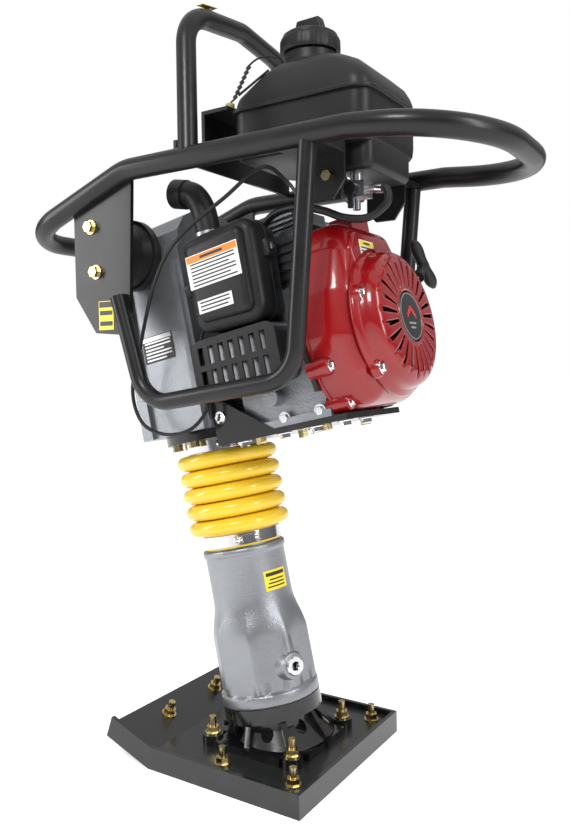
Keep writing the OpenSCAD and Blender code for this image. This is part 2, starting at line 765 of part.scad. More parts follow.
module muffler() {
  color("gray") leg_frame() {
    side_on(-70) linear_extrude(34) translate([128, 556]) polygon(rounded(124, 62, 12));
    translate([112, -72, 560]) rotate([-90, 0, 0]) cylinder(r = 14, h = 8);
    translate([72, -92, 534]) rotate([0, -90, 0]) cylinder(r = 8, h = 14);
  }
}

module muffler_guard() {
  color("black") leg_frame() difference() {
    side_on(-66) linear_extrude(48) translate([128, 556]) polygon(rounded(136, 76, 14));
    side_on(-60) linear_extrude(51) translate([128, 556]) polygon(rounded(130, 70, 12));
    for (i = [0:6], s = [528, 560]) translate([70 + 17 * i, -120, s]) cube([9, 20, 24]);
    for (i = [0:6]) translate([70 + 17 * i, -100, 580]) cube([9, 24, 20]);
    translate([50, -100, 524]) cube([20, 20, 20]);
  }
}

module engine_guard() {
  color("dimgray") leg_frame() difference() {
    along_x(226) linear_extrude(6) translate([0, shaft_s]) polygon([[-62, 150], [70, 150], [100, 104],
      [114, 40], [114, -20], [96, -74], [-96, -74], [-112, -20], [-110, 40], [-92, 96]]);
    along_x(220) translate([0, shaft_s]) cylinder(r = 62, h = 20);
  }
}

function shroud_ring(g) = [for (p = [[-58, 135], [58, 135], [86, 98], [103, 44], [106, -14], [92, -66], [58, -104],
  [-58, -104], [-92, -66], [-106, -14], [-103, 44], [-86, 98]]) p * (1 - g / 110)];

module fan_shroud() {
  color("red") leg_frame() difference() {
    union() {
      along_x(232) linear_extrude(58) translate([0, shaft_s]) polygon(shroud_ring(0));
      along_x(289) linear_extrude(11) translate([0, shaft_s]) polygon(shroud_ring(9));
    }
    along_x(231) linear_extrude(53) translate([0, shaft_s]) polygon(shroud_ring(7));
    along_x(280) translate([0, shaft_s]) cylinder(r = 86, h = 30);
    translate([255, -17, 695]) cube([26, 44, 20]);
  }
}

module recoil_cover() {
  color("firebrick") leg_frame() difference() {
    union() {
      along_x(300) translate([0, shaft_s]) cylinder(r = 94, h = 6);
      along_x(306) translate([0, shaft_s]) cylinder(r1 = 90, r2 = 84, h = 18);
      along_x(324) translate([0, shaft_s]) cylinder(r1 = 84, r2 = 76, h = 6);
      translate([319, 55, 611]) rotate([35, 0, 0]) translate([0, 8, 0]) rotate([-90, 0, 0]) cylinder(r = 11, h = 20);
    }
    along_x(299) translate([0, shaft_s]) cylinder(r = 80, h = 22);
    for (i = [0:slot_count - 1]) translate([315, 0, shaft_s]) rotate([i * 360 / slot_count, 0, 0])
      translate([0, -2.3, 38]) cube([20, 4.6, 32]);
    translate([319, 55, 611]) rotate([35, 0, 0]) translate([0, -6, 0]) rotate([-90, 0, 0])
      cylinder(r = 5, h = 50);
  }
}

module cover_badge() {
  color("black") leg_frame() along_x(330) translate([0, shaft_s]) cylinder(r = 32, h = 2);
}

module switch_housing() {
  color("firebrick") leg_frame() difference() {
    translate([252, -20, 694]) cube([32, 50, 20]);
    translate([258, -6, 706]) cube([20, 22, 12]);
  }
}

module switch_rocker() {
  color("red") leg_frame() translate([268, 5, 710]) {
    rotate([0, 90, 0]) cylinder(r = 3.5, h = 18, center = true);
    translate([-9, -8, 0]) cube([18, 16, 9]);
  }
}

module recoil_grip() {
  color("black") leg_frame() translate([319, 55, 611]) rotate([35, 0, 0]) {
    translate([0, 30, 0]) rotate([-90, 0, 0]) cylinder(r1 = 8, r2 = 6.5, h = 34);
    translate([0, 66, 0]) cylinder(r = 8, h = 62, center = true);
    translate([0, 66, 30]) sphere(r = 9);
    translate([0, 66, -30]) sphere(r = 9);
  }
}

module recoil_rope() {
  color("white") leg_frame() translate([319, 55, 611]) rotate([35, 0, 0]) translate([0, -20, 0])
    rotate([-90, 0, 0]) cylinder(r = 1.8, h = 52);
}

shoe_pan();
shoe_board();
shoe_studs();
foot_casting();
leg_cylinder();
oil_plug();
inner_tube();
lower_clamp();
bellows();
lower_spring();
upper_spring();
crankcase();
case_cover();
case_bolts();
guide_cylinder();
guide_bush();
upper_clamp();
rubber_mount_left();
rubber_mount_right();
mount_plate_left();
mount_plate_right();
frame_bolts();
main_handle();
top_hoop();
guard_left();
guard_right();
fuel_tank();
tank_brackets();
fuel_cap();
cap_tether();
fuel_valve();
valve_lever();
fuel_hose();
throttle_bracket();
throttle_lever();
throttle_cable();
base_plate();
engine_block();
cylinder_head();
spark_plug();
carburettor();
choke_lever();
air_cleaner_case();
air_cleaner_cover();
intake_elbow();
muffler();
muffler_guard();
engine_guard();
fan_shroud();
recoil_cover();
cover_badge();
switch_housing();
switch_rocker();
recoil_grip();
recoil_rope();
crank_gear();
con_rod();
ram();
pinion();
flywheel();
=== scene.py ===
import json
import math
import random
import bpy  # noqa: E402
from mathutils import Matrix, Vector  # noqa: E402


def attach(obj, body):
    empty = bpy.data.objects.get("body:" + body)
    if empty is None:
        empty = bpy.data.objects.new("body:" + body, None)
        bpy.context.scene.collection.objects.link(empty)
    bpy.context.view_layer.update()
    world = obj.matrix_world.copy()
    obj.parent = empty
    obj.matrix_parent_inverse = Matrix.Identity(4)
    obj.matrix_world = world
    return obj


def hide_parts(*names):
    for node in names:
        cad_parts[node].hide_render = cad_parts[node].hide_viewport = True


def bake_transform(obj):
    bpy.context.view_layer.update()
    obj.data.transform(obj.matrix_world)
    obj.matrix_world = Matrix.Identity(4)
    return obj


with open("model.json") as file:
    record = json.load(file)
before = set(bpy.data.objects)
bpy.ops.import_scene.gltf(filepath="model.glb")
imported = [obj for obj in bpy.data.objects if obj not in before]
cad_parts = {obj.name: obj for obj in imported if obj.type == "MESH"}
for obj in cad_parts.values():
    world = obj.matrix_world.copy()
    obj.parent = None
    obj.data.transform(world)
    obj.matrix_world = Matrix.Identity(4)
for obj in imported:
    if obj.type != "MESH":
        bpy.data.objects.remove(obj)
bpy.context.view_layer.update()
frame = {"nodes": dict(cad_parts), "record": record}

LEAN = math.radians(11.8)
LEG = Matrix.Rotation(-LEAN, 4, "Y")
WORLD = Matrix.Identity(4)
random.seed(4)


def mm(*v):
    """A point in millimetres, as a vector in metres."""
    return Vector([x / 1000 for x in v])


# ------------------------------------------------------------------ materials


def material(name, color, rough, metal=0.0, coat=0.0, bump=0.0, scale=300.0, vary=0.15, rough_vary=0.08,
             dirt=None, dirt_amount=0.0, detail=3.0, spec=0.5):
    """A node material: colour and roughness vary over the surface, and a fine bump gives the finish."""
    m = bpy.data.materials.new(name)
    m.use_nodes = True
    nt = m.node_tree
    bsdf = nt.nodes["Principled BSDF"]
    bsdf.inputs["Metallic"].default_value = metal
    bsdf.inputs["Coat Weight"].default_value = coat
    bsdf.inputs["Coat Roughness"].default_value = 0.06
    bsdf.inputs["Specular IOR Level"].default_value = spec
    coord = nt.nodes.new("ShaderNodeTexCoord")
    big = nt.nodes.new("ShaderNodeTexNoise")
    big.inputs["Scale"].default_value = 14.0
    big.inputs["Detail"].default_value = 6.0
    nt.links.new(coord.outputs["Object"], big.inputs["Vector"])
    fine = nt.nodes.new("ShaderNodeTexNoise")
    fine.inputs["Scale"].default_value = scale
    fine.inputs["Detail"].default_value = detail
    nt.links.new(coord.outputs["Object"], fine.inputs["Vector"])
    ramp = nt.nodes.new("ShaderNodeValToRGB")
    ramp.color_ramp.elements[0].position = 0.3
    ramp.color_ramp.elements[1].position = 0.7
    ramp.color_ramp.elements[0].color = [c * (1 - vary) for c in color] + [1]
    ramp.color_ramp.elements[1].color = [min(c * (1 + vary), 1) for c in color] + [1]
    nt.links.new(big.outputs["Fac"], ramp.inputs["Fac"])
    out_color = ramp.outputs["Color"]
    if dirt:
        mask = nt.nodes.new("ShaderNodeTexNoise")
        mask.inputs["Scale"].default_value = 45.0
        mask.inputs["Detail"].default_value = 8.0
        nt.links.new(coord.outputs["Object"], mask.inputs["Vector"])
        limit = nt.nodes.new("ShaderNodeMapRange")
        limit.inputs["From Min"].default_value = 0.5
        limit.inputs["From Max"].default_value = 0.75
        limit.inputs["To Max"].default_value = dirt_amount
        nt.links.new(mask.outputs["Fac"], limit.inputs["Value"])
        mix = nt.nodes.new("ShaderNodeMix")
        mix.data_type = "RGBA"
        mix.inputs["B"].default_value = list(dirt) + [1]
        nt.links.new(limit.outputs["Result"], mix.inputs["Factor"])
        nt.links.new(out_color, mix.inputs["A"])
        out_color = mix.outputs["Result"]
    nt.links.new(out_color, bsdf.inputs["Base Color"])
    span = nt.nodes.new("ShaderNodeMapRange")
    span.inputs["To Min"].default_value = max(rough - rough_vary, 0.02)
    span.inputs["To Max"].default_value = min(rough + rough_vary, 1.0)
    nt.links.new(big.outputs["Fac"], span.inputs["Value"])
    nt.links.new(span.outputs["Result"], bsdf.inputs["Roughness"])
    if bump:
        b = nt.nodes.new("ShaderNodeBump")
        b.inputs["Strength"].default_value = bump
        b.inputs["Distance"].default_value = 0.0006
        nt.links.new(fine.outputs["Fac"], b.inputs["Height"])
        nt.links.new(b.outputs["Normal"], bsdf.inputs["Normal"])
    return m


BLACK = material("black_powder", (0.007, 0.007, 0.008), 0.34, coat=0.08, bump=0.08, scale=500, spec=0.35)
GLOSS_BLACK = material("black_gloss", (0.006, 0.006, 0.007), 0.2, coat=0.4, spec=0.4, bump=0.12, scale=180,
                       dirt=(0.10, 0.09, 0.08), dirt_amount=0.12)
BOARD = material("board", (0.012, 0.013, 0.013), 0.35, coat=0.2, bump=0.25, scale=90)
CAST = material("sand_cast", (0.30, 0.31, 0.33), 0.36, metal=0.85, bump=0.85, scale=420, vary=0.1, detail=4)
STEEL = material("steel", (0.42, 0.42, 0.44), 0.3, metal=1.0, bump=0.1, scale=500)
CHROME = material("chrome_band", (0.8, 0.8, 0.82), 0.09, metal=1.0, bump=0.04, scale=200, rough_vary=0.04)
ZINC = material("zinc_yellow", (0.55, 0.43, 0.2), 0.25, metal=1.0, bump=0.12, scale=400, vary=0.35,
                dirt=(0.35, 0.45, 0.42), dirt_amount=0.4)
YELLOW = material("bellows_yellow", (0.84, 0.56, 0.03), 0.26, coat=0.3, bump=0.1, scale=160, vary=0.05)
SPRING = material("spring", (0.06, 0.07, 0.09), 0.35, metal=0.8, bump=0.2)
BRONZE = material("bronze", (0.6, 0.38, 0.16), 0.3, metal=1.0, bump=0.1)
RUBBER = material("rubber", (0.010, 0.010, 0.011), 0.45, bump=0.2, scale=350, spec=0.35)
PLASTIC = material("black_plastic", (0.009, 0.009, 0.010), 0.42, bump=0.3, scale=900, spec=0.35)
TANK = material("tank_plastic", (0.009, 0.009, 0.010), 0.42, bump=0.2, scale=600, spec=0.35)
GUARD = material("guard_grey", (0.012, 0.012, 0.013), 0.4, spec=0.35, bump=0.2, scale=500)
RED = material("red_gloss", (0.26, 0.003, 0.005), 0.24, coat=0.6, spec=0.35, bump=0.04, scale=60, vary=0.06)
RED_PLASTIC = material("red_plastic", (0.6, 0.02, 0.015), 0.25, coat=0.3, bump=0.05)
CERAMIC = material("ceramic", (0.75, 0.74, 0.7), 0.2, coat=0.5, bump=0.02)
ROPE = material("rope", (0.6, 0.6, 0.56), 0.8, bump=0.8, scale=900)
# Near-black for painted shade: a disc behind the recoil cover's slots stands for the shade inside.
PAINTED_SHADE = material("painted_shade_black", (0.004, 0.004, 0.004), 0.9, bump=0.1)
WHITE = material("label_white", (0.82, 0.82, 0.8), 0.35, bump=0.03, vary=0.03)
ORANGE = material("label_orange", (0.85, 0.22, 0.02), 0.35, bump=0.03, vary=0.04)
LABEL_YELLOW = material("label_yellow", (0.88, 0.68, 0.02), 0.35, bump=0.03, vary=0.04)
INK = material("label_ink", (0.02, 0.02, 0.02), 0.4, bump=0.03)
SILVER_INK = material("label_silver", (0.6, 0.6, 0.6), 0.3, metal=0.8, bump=0.03)

SLOT_MATERIAL = {
    "black_steel": BLACK, "board": BOARD, "zinc_bolts": ZINC, "sand_cast_aluminium": CAST, "steel": STEEL,
    "chrome_band": CHROME, "yellow_bellows": YELLOW, "spring_steel": SPRING, "bronze": BRONZE,
    "black_rubber": RUBBER, "black_plastic": PLASTIC, "guard_steel": GUARD, "red_paint": RED,
    "red_plastic": RED_PLASTIC, "white_ceramic": CERAMIC, "rope": ROPE,
}
NODE_MATERIAL = {
    "shoe_pan": GLOSS_BLACK, "foot_casting": GLOSS_BLACK, "fuel_tank": TANK, "guide_cylinder": GLOSS_BLACK,
    "cover_badge": INK, "cap_tether": STEEL, "valve_lever": PLASTIC, "base_plate": GLOSS_BLACK,
}
NODE_SLOT = {p["node"]: p["material_slot"] for p in frame["record"]["subparts"]}

for name, ob in frame["nodes"].items():
    ob.data.materials.clear()
    ob.data.materials.append(NODE_MATERIAL.get(name, SLOT_MATERIAL[NODE_SLOT[name]]))

BEVELLED = ["shoe_pan", "shoe_board", "foot_casting", "crankcase", "case_cover", "mount_plate_left",
            "mount_plate_right", "base_plate", "tank_brackets", "muffler_guard", "engine_block",
            "cylinder_head", "carburettor", "throttle_bracket", "guide_cylinder"]
for name in BEVELLED:
    mod = frame["nodes"][name].modifiers.new("edge", "BEVEL")
    mod.width = 0.0012
    mod.segments = 2
    mod.limit_method = "ANGLE"
    mod.angle_limit = math.radians(40)
    mod.use_clamp_overlap = True

# ------------------------------------------------------------------ mesh helpers


def polar(r, angle, z=0.0):
    """The point at radius r round the z axis, in mm."""
    return mm(r * math.cos(angle), r * math.sin(angle), z)


def circle(r, z, n):
    """A ring of n points round the z axis, in mm."""
    return [polar(r, 2 * math.pi * k / n, z) for k in range(n)]


def facing_x(at, x, y, z):
    """The place at (x, y, z) mm whose own z axis points along x."""
    return at @ Matrix.Translation(mm(x, y, z)) @ Matrix.Rotation(math.pi / 2, 4, "Y")


def add(name, verts, faces, mat, body, slot, at=WORLD, replaces=(), sharp=35):
    """A new piece from vertices and faces, riding on body (or on none) and standing for CAD nodes."""
    me = bpy.data.meshes.new(name)
    me.from_pydata([at @ Vector(v) for v in verts], [], faces)
    me.validate()
    me.materials.append(mat)
    me.shade_smooth()
    me.set_sharp_from_angle(angle=math.radians(sharp))
    ob = bpy.data.objects.new(name, me)
    bpy.context.scene.collection.objects.link(ob)
    if body:
        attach(ob, body)
    for node in replaces:
        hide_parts(node)
    return ob


def loft(rings, caps=True):
    """A skin over rings of equally many points, with a flat face on each end."""
    n = len(rings[0])
    verts = [p for ring in rings for p in ring]
    faces = []
    for i in range(len(rings) - 1):
        j = i + 1
        for k in range(n):
            after = (k + 1) % n
            faces.append((i * n + k, i * n + after, j * n + after, j * n + k))
    if caps:
        faces.append(tuple(reversed(range(n))))
        faces.append(tuple((len(rings) - 1) * n + k for k in range(n)))
    return verts, faces


def lathe(profile, n=96, caps=False):
    """A profile of (radius, height) points turned round the z axis."""
    return loft([circle(r, z, n) for r, z in profile], caps=caps)


def round_poly(pts, radii, seg=6):
    """A convex polygon, counter-clockwise, with filleted corners."""
    out = []
    n = len(pts)
    for i in range(n):
        a, b, c = Vector(pts[i - 1]), Vector(pts[i]), Vector(pts[(i + 1) % n])
        d1, d2 = (b - a).normalized(), (c - b).normalized()
        ang = math.acos(max(-1, min(1, d1.dot(d2))))
        r = radii[i] if isinstance(radii, (list, tuple)) else radii
        back = r * math.tan(ang / 2)
        start = b - d1 * back
        inward = Vector((-d1.y, d1.x))
        for k in range(seg + 1):
            t = ang * k / seg
            out.append(start + inward * r - inward * r * math.cos(t) + d1 * r * math.sin(t))
    return out


def rect(w, h, r, cx=0.0, cy=0.0, seg=6):
    """A rounded rectangle round (cx, cy)."""
    corners = [(-w / 2, -h / 2), (w / 2, -h / 2), (w / 2, h / 2), (-w / 2, h / 2)]
    return [p + Vector((cx, cy)) for p in round_poly(corners, r, seg)]


def inset(outline, d):
    """The outline moved inward by d at each of its points."""
    n = len(outline)
    out = []
    for i in range(n):
        t = (outline[(i + 1) % n] - outline[i - 1]).normalized()
        out.append(outline[i] + Vector((-t.y, t.x)) * d)
    return out


def slab(outline, low, high, fillet, place, steps=4, both=True):
    """An outline given thickness with rounded edges; place(a, b, h) puts it in space, in mm."""
    turns = [math.pi / 2 * k / steps for k in range(steps + 1)]
    stops = [(0, low)]
    if both:
        stops = [(fillet * (1 - math.sin(t)), low + fillet * (1 - math.cos(t))) for t in turns]
    stops += [(fillet * (1 - math.cos(t)), high - fillet * (1 - math.sin(t))) for t in turns]
    rings = [[place(p.x, p.y, h) for p in inset(outline, d)] for d, h in stops]
    return loft(rings)


def along_x(a, b, h):
    return mm(h, a, b)


def along_y(a, b, h):
    return mm(a, -h, b)


def along_z(a, b, h):
    return mm(a, b, h)


def box(name, lo, hi, fillet, mat, body, slot, at):
    """A rounded block between two corners, in mm."""
    radius = max(fillet, 0.2) * 1.2
    o = rect(hi[0] - lo[0], hi[1] - lo[1], radius, (hi[0] + lo[0]) / 2, (hi[1] + lo[1]) / 2, 4)
    return add(name, *slab(o, lo[2], hi[2], fillet, along_z, 3), mat, body, slot, at)


def sweep(name, pts, r, mat, body, slot, at=WORLD, replaces=(), closed=False, n=28, radii=None):
    """A round tube along points in mm."""
    pts = [Vector(p) for p in pts]
    count = len(pts)
    rings = []
    u = None
    for i, p in enumerate(pts):
        if closed:
            d = (pts[(i + 1) % count] - pts[i - 1]).normalized()
        else:
            d = (pts[min(i + 1, count - 1)] - pts[max(i - 1, 0)]).normalized()
        if u is None:
            u = d.cross(Vector((0, 0, 1)) if abs(d.z) < 0.8 else Vector((1, 0, 0))).normalized()
        u = (u - d * u.dot(d)).normalized()
        v = d.cross(u)
        rr = radii[i] if radii else r
        turns = [2 * math.pi * k / n for k in range(n)]
        rings.append([(p + u * rr * math.cos(t) + v * rr * math.sin(t)) / 1000 for t in turns])
    verts, faces = loft(rings, caps=not closed)
    if closed:
        # The carried frame comes back turned, so the last joint is made to the nearest vertices.
        first, last = rings[0], rings[-1]
        shift = min(range(n), key=lambda s: (first[s] - last[0]).length)
        base = (count - 1) * n
        for k in range(n):
            after = (k + 1) % n
            faces.append((base + k, base + after, (after + shift) % n, (k + shift) % n))
    return add(name, verts, faces, mat, body, slot, at, replaces)


def bend_path(pts, bends, closed=False, seg=14):
    """Straight runs between points, with an arc of the given radius at each corner."""
    pts = [Vector(p) for p in pts]
    n = len(pts)
    out = []
    for i in range(n):
        if not closed and i in (0, n - 1):
            out.append(pts[i])
            continue
        a, b, c = pts[i - 1], pts[i], pts[(i + 1) % n]
        d1, d2 = (b - a).normalized(), (c - b).normalized()
        ang = d1.angle(d2)
        up = d1.cross(d2).normalized()
        inward = up.cross(d1)
        r = bends[i]
        start = b - d1 * r * math.tan(ang / 2)
        for k in range(seg + 1):
            t = ang * k / seg
            out.append(start + inward * r * (1 - math.cos(t)) + d1 * r * math.sin(t))
    return out


def smooth_path(pts, k=10):
    """A curve through all of the points, with k steps between two of them."""
    pts = [Vector(p) for p in pts]
    n = len(pts) - 1
    out = []
    for i in range(n):
        a, b, c, d = pts[max(i - 1, 0)], pts[i], pts[i + 1], pts[min(i + 2, n)]
        square = 2 * a - 5 * b + 4 * c - d
        cube = 3 * b - a - 3 * c + d
        for j in range(k):
            t = j / k
            out.append(0.5 * (2 * b + (c - a) * t + square * t * t + cube * t ** 3))
    out.append(pts[-1])
    return out


WASHER_H = 1.6
BOLT_N = 48  # points round a bolt head


def bolt(name, pos, axis, r, h, body, at, mat, round_head=False):
    """A flanged bolt head standing on pos, pointing along axis, in mm."""
    axis = Vector(axis).normalized()
    turn = Vector((0, 0, 1)).rotation_difference(axis).to_matrix().to_4x4()
    place = at @ Matrix.Translation(mm(*pos)) @ turn
    washer = [(r * 1.45, 0), (r * 1.5, 0.6), (r * 1.45, WASHER_H)]
    rings = [circle(q, z, BOLT_N) for q, z in washer]
    for q, z in ((r, WASHER_H), (r, WASHER_H + h * 0.85), (r * 0.86, WASHER_H + h)):
        ring = []
        for k in range(BOLT_N):
            t = 2 * math.pi * k / BOLT_N
            flat = q * math.cos(math.pi / 6) / math.cos(t % (math.pi / 3) - math.pi / 6)
            ring.append(polar(q if round_head else flat, t, z))
        rings.append(ring)
    return add(name, *loft(rings), mat, body, "zinc_bolts", place)


# ------------------------------------------------------------------ handle frame

M = "machine"  # the body that most pieces ride on
RAIL_Y = 150
RAIL_Z = 828

# One side of the loop, from the rear bar forward: x, z and bend radius of each corner.
corners = [(352, 812, 124), (195, RAIL_Z, 90), (-139, RAIL_Z, 90), (-345, 756, 73)]
far_side = [(x, RAIL_Y, z) for x, z, bend in corners]
near_side = [(x, -RAIL_Y, z) for x, z, bend in reversed(corners)]
bends = [bend for x, z, bend in corners]
loop = bend_path(near_side[-1:] + far_side + near_side[:-1], bends[:1] + bends + bends[:0:-1], True)
sweep("handle_loop", loop, 14.3, BLACK, M, "black_steel", replaces=["main_handle"], closed=True)

hoop = bend_path([(-30, -RAIL_Y, RAIL_Z), (-52, -122, 1024), (-50, 0, 1038), (-52, 122, 1024),
                  (-30, RAIL_Y, RAIL_Z)], [0, 58, 60, 58, 0])
sweep("lifting_hoop", hoop, 13, BLACK, M, "black_steel", replaces=["top_hoop"])
for y, side in ((-RAIL_Y, "left"), (RAIL_Y, "right")):
    bar = bend_path([(148, y, RAIL_Z), (124, y, 546), (-112, y, 512), (-158, y, 660)], [0, 48, 48, 0])
    sweep("guard_tube_" + side, bar, 11.5, BLACK, M, "black_steel", replaces=["guard_" + side])

# ------------------------------------------------------------------ bellows

VALLEY_R = 57.6  # radius between two lobes
LOBE_DEPTH = 17.2
LOBE_PITCH = 24.5
LOBE_STEPS = 24
LOBES = 5

lower_cuff = [(54.6, 307), (57, 307.3), (57.2, 309), (57.2, 327), (VALLEY_R, 328.4)]
upper_cuff = [(57.2, 448.2), (57.2, 465), (56.8, 466), (54.6, 466)]
lobes = []
for i in range(LOBES * LOBE_STEPS + 1):
    t = i / LOBE_STEPS - 0.5
    swell = math.sqrt(max(0.0, 1 - (2 * abs(t - round(t))) ** 2.2))
    height = 338.5 + LOBE_PITCH * (t + 0.02)
    if 329 < height < 448:
        lobes.append((VALLEY_R + LOBE_DEPTH * swell, height))
skin = lathe(lower_cuff + lobes + upper_cuff, 120)
bellows = add("bellows_skin", *skin, YELLOW, None, "yellow_bellows", LEG, ["bellows"], sharp=60)
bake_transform(bellows)

# ------------------------------------------------------------------ leg casting

LEG_FLAT = 66.5  # from the axis to a flat of the octagon
LEG_CORNER = 71.7  # from the axis to its turned-off corners
DRAIN_S = 132  # height of the drain plug along the leg


def leg_ring(height, r, octagon):
    """A section of the leg: a circle of radius r at octagon 0, the octagon at 1, a mix in between."""
    ring = []
    n = 160
    for k in range(n):
        a = 2 * math.pi * k / n
        flat = LEG_FLAT / math.cos((a + math.pi / 8) % (math.pi / 4) - math.pi / 8)
        q = r * (1 - octagon) + min(flat, LEG_CORNER) * octagon
        ring.append(polar(q, a, height))
    return ring


# Height, radius and share of octagon of each section: up the outside, then down the bore.
outside = [(83.2, 70.4, 0), (84, 71.2, 0), (86, 71.6, 0), (97, 71.6, 0), (99, 71.0, 0), (100.6, 69, 0.3),
           (102, 68, 1), (120, 68, 1), (168, 68, 1), (174, 68, 0.97), (180, 67.5, 0.86), (188, 66.2, 0.6),
           (198, 63.6, 0.35), (208, 61.2, 0.15), (218, 59.4, 0.04), (226, 58.6, 0), (240, 58.4, 0),
           (292, 58.4, 0), (294.5, 58.9, 0), (296, 60.4, 0), (298, 61, 0), (302, 61, 0), (304, 60.4, 0),
           (305, 59, 0)]
bore = [(305.2, 54.1, 0), (330, 54, 0), (330, 40.1, 0), (300, 40.1, 0), (299.9, 36.1, 0), (100, 36.1, 0)]
add("leg_casting", *loft([leg_ring(*stop) for stop in outside + bore]), CAST, "foot", "sand_cast_aluminium",
    LEG, ["leg_cylinder"], sharp=42)

TURN = LEG @ Matrix.Rotation(math.radians(-22.5), 4, "Z")
BOSS = facing_x(TURN, 0, 0, DRAIN_S)
boss = [(24, 62), (21.5, 66), (19.2, 70), (18.2, 74), (17.6, 75.6), (16.4, 76), (11, 76)]
add("drain_boss", *lathe(boss, 64), CAST, "foot", "sand_cast_aluminium", BOSS)
rib = [(-5, 54), (5, 54), (9, 66), (7.5, 72), (-7.5, 72), (-9, 66)]
rings = []
for s, k in ((140, 1.0), (158, 0.98), (172, 0.85), (184, 0.55), (190, 0.25)):
    rings.append([mm(54 + (x - 54) * (0.5 + 0.5 * k), y * k, s) for y, x in rib])
add("drain_rib", *loft(rings), CAST, "foot", "sand_cast_aluminium", TURN, sharp=80)
plug = [(12.4, 76), (13.4, 76.4), (13.6, 77.4), (13.2, 79.6), (12, 80.6), (6.6, 80.6), (5.8, 79.8), (5.6, 74)]
add("plug_head", *lathe(plug, 48), CHROME, "foot", "steel", BOSS, ["oil_plug"])

# ------------------------------------------------------------------ working springs, inside the tube

COIL_R = 27
COIL_STEPS = 24  # steps in one turn
SEAT = 3.4  # from the end of a spring to the middle of its wire


def coil(spring, low, high, turns):
    """The wire of a spring from low to high."""
    steps = COIL_STEPS * turns
    rise = high - low - 2 * SEAT
    pts = []
    for i in range(steps + 1):
        a = 2 * math.pi * turns * i / steps
        pts.append((COIL_R * math.cos(a), COIL_R * math.sin(a), low + SEAT + rise * i / steps))
    ob = sweep(spring + "_wire", pts, 3.2, SPRING, None, "spring_steel", LEG, [spring], n=12)
    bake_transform(ob)


coil("lower_spring", 104, 231, 7)
coil("upper_spring", 259, 371, 6)

# ------------------------------------------------------------------ fan shroud and recoil cover

FAN_S = 567  # height of the fan's axis along the leg
SHROUD_STEPS = 9  # rings in the rounded front edge
PER_SLOT = 8  # points of the dome to one cooling slot
DOME_N = 25 * PER_SLOT
FAN = facing_x(LEG, 0, 0, FAN_S)


def fan_point(x, r, angle):
    """The point at radius r round the fan's axis, in mm."""
    return mm(x, r * math.cos(angle), FAN_S + r * math.sin(angle))


def fan_outline(pts):
    """An outline given round the fan's axis, moved up to it."""
    return [Vector(p) + Vector((0, FAN_S)) for p in pts]


# Half of the shroud's outline, down from the top: y, height and fillet of each corner.
half = [(-58, 135, 26), (-86, 98, 26), (-103, 44, 40), (-106, -14, 40), (-92, -66, 30), (-58, -104, 30)]
raw = [(y, z) for y, z, r in half] + [(-y, z) for y, z, r in reversed(half)]
fillets = [r for y, z, r in half + half[::-1]]
outline = fan_outline(round_poly(raw, fillets, 6))
stops = [(0, 232), (0, 236), (0, 262)]
for k in range(1, SHROUD_STEPS + 1):
    t = math.pi / 2 * k / SHROUD_STEPS
    stops.append((38 * (1 - math.cos(t)) * 0.62, 262 + 36 * math.sin(t)))
rings = [[along_x(p.x, p.y, x) for p in inset(outline, d)] for d, x in stops]

# The front ends on a round opening, turned so that its points lie nearest to those of the outline.
front = rings[-1]
count = len(front)
opening = [fan_point(298, 86, 2 * math.pi * k / count) for k in range(count)]


def distance(shift):
    return sum((front[i] - opening[(i + shift) % count]).length for i in range(0, count, 5))


nearest = min(range(count), key=distance)
rings.append([opening[(i + nearest) % count] for i in range(count)])
add("shroud_shell", *loft(rings, caps=False), RED, M, "red_paint", LEG, ["fan_shroud"], sharp=50)
stops = [(2, 232), (-2.4, 232), (-2.8, 233.4), (-2.4, 236), (0.5, 237)]
lip = [[along_x(p.x, p.y, x) for p in inset(outline, d)] for d, x in stops]
add("shroud_lip", *loft(lip, caps=False), RED, M, "red_paint", LEG)

dome = [(96, 296), (97, 299), (96, 302), (91, 304.5), (89, 307), (88, 314), (86.5, 320), (83, 325),
        (77, 328.4), (71, 329.6), (66, 330), (60, 330.2), (52, 330.4), (44, 330.5), (39, 330.5), (34, 330.4)]
verts = [fan_point(x, r, 2 * math.pi * k / DOME_N) for r, x in dome for k in range(DOME_N)]
faces = []
for i in range(len(dome) - 1):
    for k in range(DOME_N):
        shortened = i == 8 and k % (2 * PER_SLOT) > PER_SLOT
        if 8 <= i <= 13 and k % PER_SLOT in (0, 1, 2) and not shortened:
            continue
        after = (k + 1) % DOME_N
        faces.append((i * DOME_N + k, (i + 1) * DOME_N + k, (i + 1) * DOME_N + after, i * DOME_N + after))
recoil = add("recoil_dome", verts, faces, RED, M, "red_paint", LEG, ["recoil_cover"], sharp=50)
mod = recoil.modifiers.new("thick", "SOLIDIFY")
mod.thickness = 0.0035
mod.offset = 0
# A near-black disc behind the cooling slots, as painted shade for the shade inside the recoil cover.
disc = [[fan_point(316, r, 2 * math.pi * k / 64) for k in range(64)] for r in (1, 80)]
add("recoil_painted_shade", *loft(disc, caps=False), PAINTED_SHADE, M, "guard_steel", LEG)

badge = [(0.5, 332), (28, 332), (31, 331.7), (32, 330.8), (32, 329.5)]
add("badge_disc", *lathe(badge, 72), INK, M, "black_plastic", FAN, ["cover_badge"])
ring = [(29.4, 331.9), (29.4, 332.4), (30.6, 332.4), (30.6, 331.6)]
add("badge_ring", *lathe(ring, 72), SILVER_INK, M, "chrome_band", FAN)
chevron = fan_outline([(-13, -3), (0, 8), (13, -3), (13, 3), (0, 14), (-13, 3)])
add("badge_chevron", *slab(chevron, 331.8, 332.5, 0.1, along_x, 1), RED_PLASTIC, M, "red_plastic", LEG)
for k, w in enumerate((20, 14)):
    bar = rect(w, 2.4, 1, 0, FAN_S - 9 - 6 * k, 2)
    add("badge_bar_%d" % k, *slab(bar, 331.8, 332.4, 0.1, along_x, 1), SILVER_INK, M, "chrome_band", LEG)

